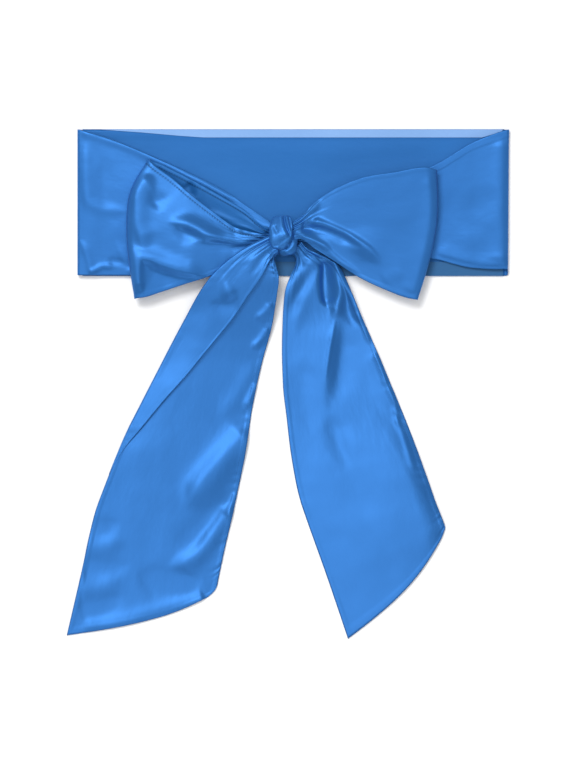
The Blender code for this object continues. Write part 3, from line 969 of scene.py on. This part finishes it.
@dataclass
class Loops:
    """The bow's two loops, each one continuous sheet: back wall, turned side and front wall."""

    finishes: Finishes

    left_ribs: tuple[Rib, ...] = (
        Rib(-12, 157, -12, 144, 12.6, pleat=0.5),
        Rib(-22, 160.5, -22, 142, 11.6, pleat=0.45),
        Rib(-45, 179, -46, 130, 10, pleat=0.15),
        Rib(-69, 193.5, -72, 116, 8.4, bow=4),
        Rib(-95, 208, -102, 105, 8, bow=9, bow_at=0.4),
        Rib(-120, 221, -130, 95, 8.2, bow=14, bow_at=0.38),
        Rib(-136, 228.4, -150.4, 89.4, 8.3, bow=17, bow_at=0.33),
        Rib(-141.4, 229.8, -155.8, 88, 9.8, bow=17, bow_at=0.33),
        Rib(-142.6, 230.5, -156.9, 87.6, 13, bow=17, bow_at=0.33),
        Rib(-141.2, 229, -155.2, 88, 16.8, 1.2, 17, 0.33, crown_at=0.6),
        Rib(-137, 225, -149, 88.6, 18.2, 2.6, 17, 0.33, crown_at=0.55),
        Rib(-118, 211, -128, 95, 17.4, 3.4, 14, 0.38, crown_at=0.5),
        Rib(-101, 196, -104, 103, 17.2, 4, 9, 0.4, crown_at=0.5),
        Rib(-77, 177, -77, 112, 16.8, 3.2, 4, 0.5, crown_at=0.5),
        Rib(-51, 159.5, -50, 128, 16.2, 1.4, 0, 0.5, 0.08),
        Rib(-22, 153, -22, 140, 16.4, 0.5, 0, 0.5, 0.3),
        Rib(-12, 152, -12, 143, 17, 0.5, 0, 0.5, 0.6),
    )
    left_creases: tuple[Crease, ...] = (
        Crease(((-136, 214), (-148, 205), (-154.5, 188), (-154.5, 168), (-150, 152), (-146, 138)),
               3.0, 12.0, 6.5, (14, 18)),
        Crease(((-140, 200), (-136, 190), (-130, 175)), -2.4, 12, 7, (18, 18)),
        Crease(((-123, 166.2), (-106, 164), (-94, 159.4), (-83, 153.8), (-64, 149)),
               3.8, 9.0, 5.0, (24, 26)),
        Crease(((-119, 158), (-104, 154), (-86, 147.5)), -2.3, 5, 10, (16, 22)),
        Crease(((-100, 143.5), (-83, 148.4), (-74, 149.5), (-62, 147.6), (-51, 145.6), (-38, 149),
                (-20, 156.5)),
               2.4, 9.0, 4.0, (36, 2)),
        Crease(((-88, 142), (-68, 142.5), (-44, 141)), -2, 4, 11, (26, 14)),
        Crease(((-149.5, 92), (-153, 107), (-153, 119), (-149.5, 128.5), (-141, 127.5), (-128, 122),
                (-114, 117.4), (-99, 114), (-82, 111)), 4.2, 11, 5, (14, 24)),
        Crease(((-146, 117), (-132, 112), (-112, 107)), -1.4, 5, 10, (12, 16)),
        Crease(((-26, 149), (-44, 152), (-58, 158)), 0.8, 3, 3, (2, 14)),
        Crease(((-134, 227), (-95, 206), (-69, 191), (-45, 176), (-20, 157)), 2.6, 4.5, 10, (10, 2),
               layer=Layer.BACK),
        Crease(((-24, 154), (-52, 165), (-84, 180)), 1, 3, 3.4, (2, 20), layer=Layer.BACK),
        Crease(((-104, 208), (-100, 200), (-97, 188)), -3, 5, 6, (6, 10), layer=Layer.BACK),
        Crease(((-140, 190), (-138, 150), (-140, 110)), -1.2, 9, 9, (16, 16), layer=Layer.BACK),
        Crease(((-120, 160), (-90, 150), (-60, 148)), -1.4, 5, 5, (16, 8), layer=Layer.BACK),
    )
    right_ribs: tuple[Rib, ...] = (
        Rib(6, 162, 6, 147, 13.6, pleat=0.8),
        Rib(14, 167, 14, 151, 12.8, pleat=0.9),
        Rib(50, 196, 47, 131, 11.4, pleat=0.6),
        Rib(80, 208, 74, 113, 10.2, bow=-3, bow_at=0.45, pleat=0.2),
        Rib(110, 213, 97, 102, 10.2, bow=-6, bow_at=0.45),
        Rib(145.6, 215.5, 127, 90, 10.3, bow=-8.5, bow_at=0.45),
        Rib(151, 218.6, 131.4, 87.4, 11.8, bow=-8.5, bow_at=0.45),
        Rib(152.4, 220, 132.8, 86.6, 15, bow=-8.5, bow_at=0.45),
        Rib(151, 219.8, 131.2, 86.8, 20.2, 0.5, -8.5, 0.45, tip=-3, crown_at=0.3),
        Rib(141, 222, 124, 88, 24.4, 0.8, -8.5, 0.45, tip=-7, crown_at=0.2),
        Rib(110, 217, 97, 98, 25, 0.8, -6, 0.45, tip=-8.6, crown_at=0.2),
        Rib(82, 212.5, 74, 109, 24.4, 0.8, -3, 0.45, tip=-8.6, crown_at=0.2),
        Rib(52, 201.5, 48, 126, 22, 1, 0, 0.5, 0, -5.6, 0.2),
        Rib(30, 188, 29, 138, 18.4, 1, 0, 0.5, 0.1, -1.6),
        Rib(12, 170, 12, 149, 17.8, 1, 0, 0.5, 0.4),
        Rib(5, 166, 5, 147, 18.4, 1, 0, 0.5, 0.5),
    )
    right_creases: tuple[Crease, ...] = (
        Crease(((2, 164), (12, 171), (22, 177.5), (35, 190)), 1.8, 5, 4, (0, 12)),
        Crease(((14, 176), (24, 185), (36, 194)), -1.2, 3.6, 3.6, (4, 8)),
        Crease(((13, 162), (34, 159), (56, 150.5), (76, 139)), -3.8, 3.6, 6, (4, 26)),
        Crease(((24, 168.5), (40, 162), (61, 152), (84, 137), (98, 122)), 2.8, 4, 9, (8, 30)),
        Crease(((60, 158), (80, 146), (100, 126)), 1, 12, 12, (20, 26)),
        Crease(((8, 156), (22, 150), (34, 144), (46, 137)), 1.8, 4, 3, (0, 12)),
        Crease(((144, 214), (146, 180), (142, 150), (131, 108), (126, 92)), 0.7, 4, 8, (12, 6)),
        Crease(((14, 151), (34, 142), (56, 125), (76, 113)), 1.2, 3, 3, (6, 20)),
        Crease(((96, 104), (108, 112), (122, 114)), 0.8, 8, 8, (8, 12)),
        Crease(((20, 160), (60, 168), (110, 180)), 1.3, 6, 6, (4, 20), layer=Layer.BACK),
        Crease(((20, 154), (60, 142), (100, 118)), 1.4, 5, 5, (4, 20), layer=Layer.BACK),
        Crease(((130, 200), (128, 160), (118, 110)), -1.2, 9, 9, (16, 16), layer=Layer.BACK),
    )

    def build(self) -> None:
        """Makes both loops."""
        left_hems = Hems(a=4.0, b=4.0, pucker_a=0.25, pucker_b=0.12, pitch=19.0, drawn_a=0.0)
        right_hems = Hems(a=4.0, b=4.0, pucker_a=0.1, pucker_b=0.12, pitch=24.0, drawn_a=1.2)
        left = Stretch("left_loop", self.left_ribs, self.left_creases, turn=8, seed=5.0, hems=left_hems,
                       ripple=0.3)
        right = Stretch("right_loop", self.right_ribs, self.right_creases, turn=7, seed=6.0, hems=right_hems,
                        ripple=0.3)
        loops = (
            Cloth(left, ("loop_left_back", "loop_left_front"), "satin_face", (0.151, 0.290), "gathered",
                  0.031),
            Cloth(right, ("loop_right_back", "loop_right_front"), "satin_face", (0.151, 0.300), "gathered",
                  0.031),
        )
        for loop in loops:
            loop.declare(loop.build(self.finishes.face, self.finishes.reverse))


@dataclass
class Tails:
    """The two tails: the left one has its side turned over, the right one lies open."""

    finishes: Finishes

    left_ribs: tuple[Rib, ...] = (
        Rib(-16, 152, -9, 134, 20.2, pleat=0.5),
        Rib(-23, 149, -14, 129.5, 20.8, pleat=0.6),
        Rib(-46, 137, -12, 121, 21.2, pleat=0.25),
        Rib(-76, 112, -9, 107, 18.6, 0.5, pleat=0.1),
        Rib(-90, 93, -11, 92, 14, 1.5),
        Rib(-104, 68, -16, 61, 6.8, 2.4, crown_at=0.35),
        Rib(-117, 44, -21, 42, 3.6, 2.2, crown_at=0.3),
        Rib(-130, 19, -26, 24, 1.9, 2.2, crown_at=0.3),
        Rib(-150, -20, -36, -22, 1.1, 2, crown_at=0.3),
        Rib(-171, -62, -43, -68, 1.1, 2, crown_at=0.3),
        Rib(-189, -106, -51, -108, 1.2, 1),
        Rib(-199, -134, -58, -140, 1.3),
        Rib(-213, -196, -68, -184, 1.3, 0, 2),
        Rib(-227.5, -258.5, -74, -215, 0.9, 0, 8, 0.6),
    )
    left_creases: tuple[Crease, ...] = (
        Crease(((-30, 24), (-48, -6), (-70, -36)), 1.2, 10, 10, (18, 22)),
        Crease(((-36, -44), (-60, -70), (-84, -98), (-106, -130)), 4.6, 19, 14, (18, 34)),
        Crease(((-62, -118), (-86, -146), (-116, -166)), -1.2, 12, 12, (20, 24)),
        Crease(((-56, -122), (-76, -152), (-96, -178), (-124, -190)), 2.8, 10, 9, (14, 26)),
        Crease(((-156, -196), (-132, -203), (-108, -206), (-88, -198)), -2.8, 12, 13, (24, 20)),
        Crease(((-214, -250), (-180, -246), (-130, -232), (-84, -220)), 1.7, 9, 6, (14, 6)),
        Crease(((-208, -146), (-192, -148), (-172, -142)), -1.5, 9, 9, (6, 16)),
        Crease(((-210, -166), (-194, -168), (-166, -160)), 1.1, 9, 9, (6, 20)),
        Crease(((-212, -188), (-196, -189), (-160, -186)), -1.3, 9, 9, (6, 24)),
        Crease(((-214, -211), (-196, -210), (-170, -200)), 1, 9, 9, (6, 20)),
        Crease(((-216, -232), (-194, -231), (-168, -216)), -1.5, 9, 10, (8, 20)),
        Crease(((-16, 84), (-24, 73), (-34, 66)), 1.7, 4.6, 4, (6, 8)),
        Crease(((-20, 58), (-28, 45), (-38, 36)), 1.6, 3.6, 4, (5, 8)),
        Crease(((-30, 2), (-37, -10), (-44, -26)), 1.4, 4, 4, (5, 8)),
        Crease(((-52, -110), (-58, -124), (-62, -140)), 1.3, 3.4, 3.4, (5, 8)),
    )
    turn_creases: tuple[Crease, ...] = (
        Crease(((-72, 92), (-61, 95), (-50, 99)), 3.8, 12, 8, (18, 18)),
        Crease(((-82, 82), (-64, 81), (-48, 88)), -1.8, 5, 10, (16, 14)),
        Crease(((-18, 142), (-32, 132), (-48, 122)), 0.7, 4, 4, (2, 14)),
        Crease(((-20, 136), (-30, 122), (-40, 110)), -0.8, 4, 4, (2, 14)),
        Crease(((-92, 62), (-112, 28), (-130, -4)), -0.5, 13, 13, (20, 26)),
    )
    turn_reaches: tuple[tuple[float, float], ...] = (
        (0.0, 0.92), (0.02, 0.89), (0.053, 0.79), (0.111, 0.735), (0.2125, 0.569), (0.307, 0.415),
        (0.385, 0.296), (0.457, 0.183), (0.528, 0.10), (0.60, 0.025), (0.65, 0.004),
    )
    right_ribs: tuple[Rib, ...] = (
        Rib(3, 136, 14, 146, 12.6, pleat=0.4),
        Rib(9, 128, 19, 140, 10.6, pleat=0.4),
        Rib(2, 110, 50, 124, 8, pleat=0.2),
        Rib(-3, 94, 65, 96, 7, pleat=0.1),
        Rib(-5, 72, 75, 72, 4.6),
        Rib(-6, 36, 91, 36, 2.6),
        Rib(-5, 0, 106, 0, 1.8),
        Rib(-1, -36, 121, -36, 1.5, 1.6, crown_at=0.75),
        Rib(2.5, -66, 132.5, -66, 1.3, 3.2, tip=1.2, crown_at=0.82),
        Rib(9, -104, 144, -98, 1.3, 3.6, tip=1.8, crown_at=0.84),
        Rib(13, -120, 148.2, -110, 1.3, 3.6, tip=1.8, crown_at=0.84),
        Rib(18.3, -136, 152, -121, 1.3, 3.6, tip=1.8, crown_at=0.84),
        Rib(40, -197, 160, -141, 1.2, 3, 3, tip=1.2, crown_at=0.82),
        Rib(62, -262, 163, -150, 0.9, 1.6, 10, 0.55, crown_at=0.8),
    )
    right_creases: tuple[Crease, ...] = (
        Crease(((30, 132), (16, 116), (4, 100), (-2, 80)), 2.2, 7, 6, (4, 20)),
        Crease(((28, 124), (18, 104), (8, 86), (4, 66)), -1.2, 6, 6, (8, 20)),
        Crease(((32, 124), (23, 102), (13, 80), (6, 50)), 1.2, 8, 9, (6, 30)),
        Crease(((38, 128), (36.5, 108), (37.5, 92), (41, 79)), -4.6, 10, 3.6, (6, 10)),
        Crease(((45, 128), (50.5, 110), (54, 93), (51, 77), (43, 68)), 3, 5, 6.5, (4, 14)),
        Crease(((50, 76), (47, 55), (42.5, 30), (40, 12), (37, -8), (37, -34)), 2.4, 9, 24, (36, 60)),
        Crease(((49.5, 68), (47, 55), (42.5, 30), (40, 12), (38, -2)), 0.9, 1.8, 3.2, (22, 30)),
        Crease(((56, 100), (62, 76), (70, 56)), -2, 7, 7, (16, 22)),
        Crease(((47, 126), (57, 108), (66, 88), (76, 60)), 1.8, 4, 4, (4, 20)),
        Crease(((56, 56), (54, 20), (50, -20)), -1.6, 14, 9, (20, 40)),
        Crease(((20, 30), (18, -10), (26, -60)), -0.9, 14, 14, (26, 40)),
        Crease(((44, -30), (52, -60), (64, -88)), -1.4, 10, 10, (20, 30)),
        Crease(((84, 40), (94, 6), (106, -36)), 1, 13, 8, (20, 34)),
        Crease(((50, -66), (72, -100), (90, -140)), -0.6, 14, 14, (26, 34)),
        Crease(((72, 72), (78, 58), (84, 40)), 1, 3, 3, (6, 10)),
        Crease(((88, 34), (97, 12), (102, -4)), 1.1, 3, 3.4, (8, 8)),
        Crease(((101, 0), (110, -22), (114, -46)), 1, 3, 3.4, (8, 10)),
        Crease(((112, -34), (122, -62), (130, -90)), 0.7, 3.4, 3.4, (10, 12)),
    )

    def build(self) -> None:
        """Makes both tails."""
        hems = Hems(a=4.5, b=5.0, end=5.0, pucker_a=0.08, pucker_b=0.45, pitch=18.0,
                    drawn_a=1.4, drawn_b=0.6)
        left = Stretch("left_tail", self.left_ribs, self.left_creases, seed=7.0, hems=hems, ripple=0.3,
                       ripple_size=44, cell=1.5, corner=12.0)
        right = Stretch("right_tail", self.right_ribs, self.right_creases, seed=8.0, hems=hems, ripple=0.25,
                        ripple_size=40, cell=1.5, corner=13.0)
        turned = TurnedSide("left_tail_turned_side", self.left_ribs, self.turn_creases, tail=left, seed=9.0,
                            reaches=self.turn_reaches, hems=Hems(b=4.5), cell=1.5)
        pieces = (
            Cloth(left, ("tail_left",), "satin_face", (0.151, 0.449), "laid", 0.0618),
            Cloth(turned, ("tail_left_turn",), "satin_face", (0.095, 0.266), "folded", 0.0105),
            Cloth(right, ("tail_right",), "satin_face", (0.151, 0.402), "laid", 0.0551),
        )
        for piece in pieces:
            piece.declare(piece.build(self.finishes.face, self.finishes.reverse))


@dataclass
class Knot:
    """The knot: a bundle of gathered cloth with one stretch drawn over it and one under it."""

    finishes: Finishes

    wrap_ribs: tuple[Rib, ...] = (
        Rib(-10, 168, -1, 169.5, 10),
        Rib(-13.5, 171.5, 1.5, 172.8, 16, 2),
        Rib(-17, 165.5, 4.2, 167, 21, 2.6, crown_at=0.45),
        Rib(-18.8, 158.5, 4.8, 160, 24.6, 3, crown_at=0.45),
        Rib(-18.8, 150, 3.8, 151.5, 27.2, 3.2, crown_at=0.42),
        Rib(-18.2, 144.5, 0.5, 144, 26.2, 3, crown_at=0.42),
        Rib(-15.8, 138.6, -4.5, 137, 21, 2),
        Rib(-12.5, 138, -8.5, 137, 11.5),
    )
    wrap_creases: tuple[Crease, ...] = (
        Crease(((-7, 174), (-6, 164), (-3, 156), (1, 149)), 1.4, 1.6, 3.4, (2, 5)),
        Crease(((-4.2, 174), (-3, 165), (-0.4, 157), (3.4, 150)), -1.6, 1.3, 1.3, (2, 4)),
        Crease(((-1.5, 173), (0.2, 165), (2.6, 156)), 1.1, 1.2, 1.3, (2, 4)),
        Crease(((1, 171), (2.4, 163), (3.6, 157)), -1.2, 1, 1, (2, 4)),
        Crease(((-15.5, 163), (-12, 157), (-10, 152)), -0.9, 2.4, 2.4, (4, 5)),
        Crease(((-16, 141.5), (-10, 143), (-3, 148), (3, 153)), -1, 2.4, 2.2, (3, 5)),
        Crease(((-16.4, 139), (-12, 139.4), (-7, 139)), 1, 1.2, 1.2, (2, 3)),
    )
    under_ribs: tuple[Rib, ...] = (
        Rib(3, 152, 7, 152, 12),
        Rib(-1, 150, 9.8, 147, 17.5, 3),
        Rib(-5, 147, 9.2, 138, 19.5, 3.4),
        Rib(-9, 143.5, 3, 132.4, 20, 3.4),
        Rib(-13.5, 140.5, -5.5, 131.4, 17, 2.4),
        Rib(-14, 138.5, -10.5, 134, 11),
    )
    under_creases: tuple[Crease, ...] = (
        Crease(((8.6, 146), (3, 138), (-4, 134)), 0.9, 2, 1.6, (3, 3)),
        Crease(((4, 149), (1, 142), (-7, 137)), -0.9, 1.6, 1.6, (3, 3)),
    )

    def core(self) -> bpy.types.Object:
        """The rounded bundle inside the knot.

        Returns:
            The object.
        """
        low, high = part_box("knot_core")
        middle, half = (low + high) / 2, (high - low) / 2
        bundle = bmesh.new()
        bmesh.ops.create_uvsphere(bundle, u_segments=48, v_segments=32, radius=1.0)
        for vertex in bundle.verts:
            turn = math.atan2(vertex.co.y, vertex.co.x)
            pleated = 0.86 + 0.035 * math.sin(9 * turn + 4 * vertex.co.z)
            vertex.co = middle + Vector(part * size * pleated for part, size in zip(vertex.co, half))
        layer = bundle.loops.layers.uv.new("cloth")
        for face in bundle.faces:
            face.smooth = True
            for loop in face.loops:
                loop[layer].uv = (loop.vert.co.y, loop.vert.co.x)
        made = placed("knot_bundle", mesh_from(bundle, "knot_bundle"))
        made.data.materials.append(self.finishes.face)
        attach(made, "root")
        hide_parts("knot_core")
        LOG.info("%s: %d faces", made.name, len(made.data.polygons))
        return made

    def build(self) -> None:
        """Makes the knot."""
        self.core()
        wrap = Stretch("knot_over", self.wrap_ribs, self.wrap_creases, roll=1.0, cell=0.6, ripple=0.1,
                       ripple_size=12, seed=11.0)
        under = Stretch("knot_below", self.under_ribs, self.under_creases, roll=1.0, cell=0.6, ripple=0.12,
                        ripple_size=10, seed=12.0)
        pieces = (
            Cloth(wrap, ("knot_wrap",), "satin_face", (0.040, 0.062), "folded", 0.0015),
            Cloth(under, ("knot_under",), "satin_face", (0.030, 0.034), "folded", 0.0007),
        )
        for piece in pieces:
            piece.declare(piece.build(self.finishes.face, self.finishes.reverse))


@dataclass
class Studio:
    """A plain pale floor, soft lights and a camera that looks straight down."""

    view_height: float = 0.791
    camera_distance: float = 3.0
    sensor: float = 36.0
    centre: tuple[float, float] = (0.00025, 0.00026)
    floor_colour: tuple[float, float, float] = (0.985, 0.985, 0.985)

    def floor(self) -> None:
        """The floor, wide enough for every view."""
        sheet = bmesh.new()
        bmesh.ops.create_grid(sheet, x_segments=2, y_segments=2, size=6.0)
        made = placed("floor", mesh_from(sheet, "floor"))
        graph = Graph("pale_floor")
        place = graph.add("ShaderNodeTexCoord").outputs["Object"]
        tone = graph.noise(place, 0.3)
        dim = tuple(0.985 * part for part in self.floor_colour)
        graph.put(graph.shader, "Base Color", graph.blend(tone, (*dim, 1.0), (*self.floor_colour, 1.0)))
        graph.shader.inputs["Roughness"].default_value = 0.9
        graph.shader.inputs["Specular IOR Level"].default_value = 0.1
        made.data.materials.append(graph.material)

    def light(
        self, name: str, place: tuple[float, float, float], size: tuple[float, float], power: float
    ) -> None:
        """A soft rectangular light aimed at the middle of the sash.

        Args:
            name: the light's name.
            place: where it stands, in metres.
            size: its two sides, in metres.
            power: its power in watts.
        """
        lamp = bpy.data.lights.new(name, "AREA")
        lamp.shape = "RECTANGLE"
        lamp.size, lamp.size_y = size
        lamp.energy = power
        made = bpy.data.objects.new(name, lamp)
        made.location = place
        made.rotation_euler = (-Vector(place)).to_track_quat("-Z", "Y").to_euler()
        bpy.context.scene.collection.objects.link(made)

    def camera(self) -> None:
        """The camera, straight above the sash."""
        lens = bpy.data.cameras.new("camera")
        lens.sensor_width = self.sensor
        lens.lens = self.sensor * self.camera_distance / self.view_height
        made = bpy.data.objects.new("camera", lens)
        made.location = (*self.centre, self.camera_distance)
        bpy.context.scene.collection.objects.link(made)
        bpy.context.scene.camera = made

    def surround(self, strength: float) -> None:
        """An even pale surround.

        Args:
            strength: how bright it is.
        """
        world = bpy.data.worlds.new("surround")
        world.use_nodes = True
        shade = world.node_tree.nodes["Background"]
        shade.inputs["Color"].default_value = (1.0, 1.0, 1.0, 1.0)
        shade.inputs["Strength"].default_value = strength
        bpy.context.scene.world = world

    def build(self) -> None:
        """Sets the studio up."""
        self.floor()
        self.camera()
        self.surround(0.40)
        self.light("key", (-1.25, 2.3, 4.2), (2.1, 1.6), 136.0)
        self.light("overhead", (-0.4, 0.0, 3.4), (2.9, 2.9), 38.0)
        self.light("low_fill", (0.4, -2.3, 1.3), (1.8, 0.9), 11.0)
        bpy.context.scene.view_settings.view_transform = "Standard"


def main() -> None:
    """Builds the sash and its studio."""
    logging.basicConfig(level=logging.INFO, format="%(name)s: %(message)s")
    finishes = Finishes()
    Band(finishes).build()
    Loops(finishes).build()
    Tails(finishes).build()
    Knot(finishes).build()
    Studio().build()


if __name__ == "__main__":
    main()
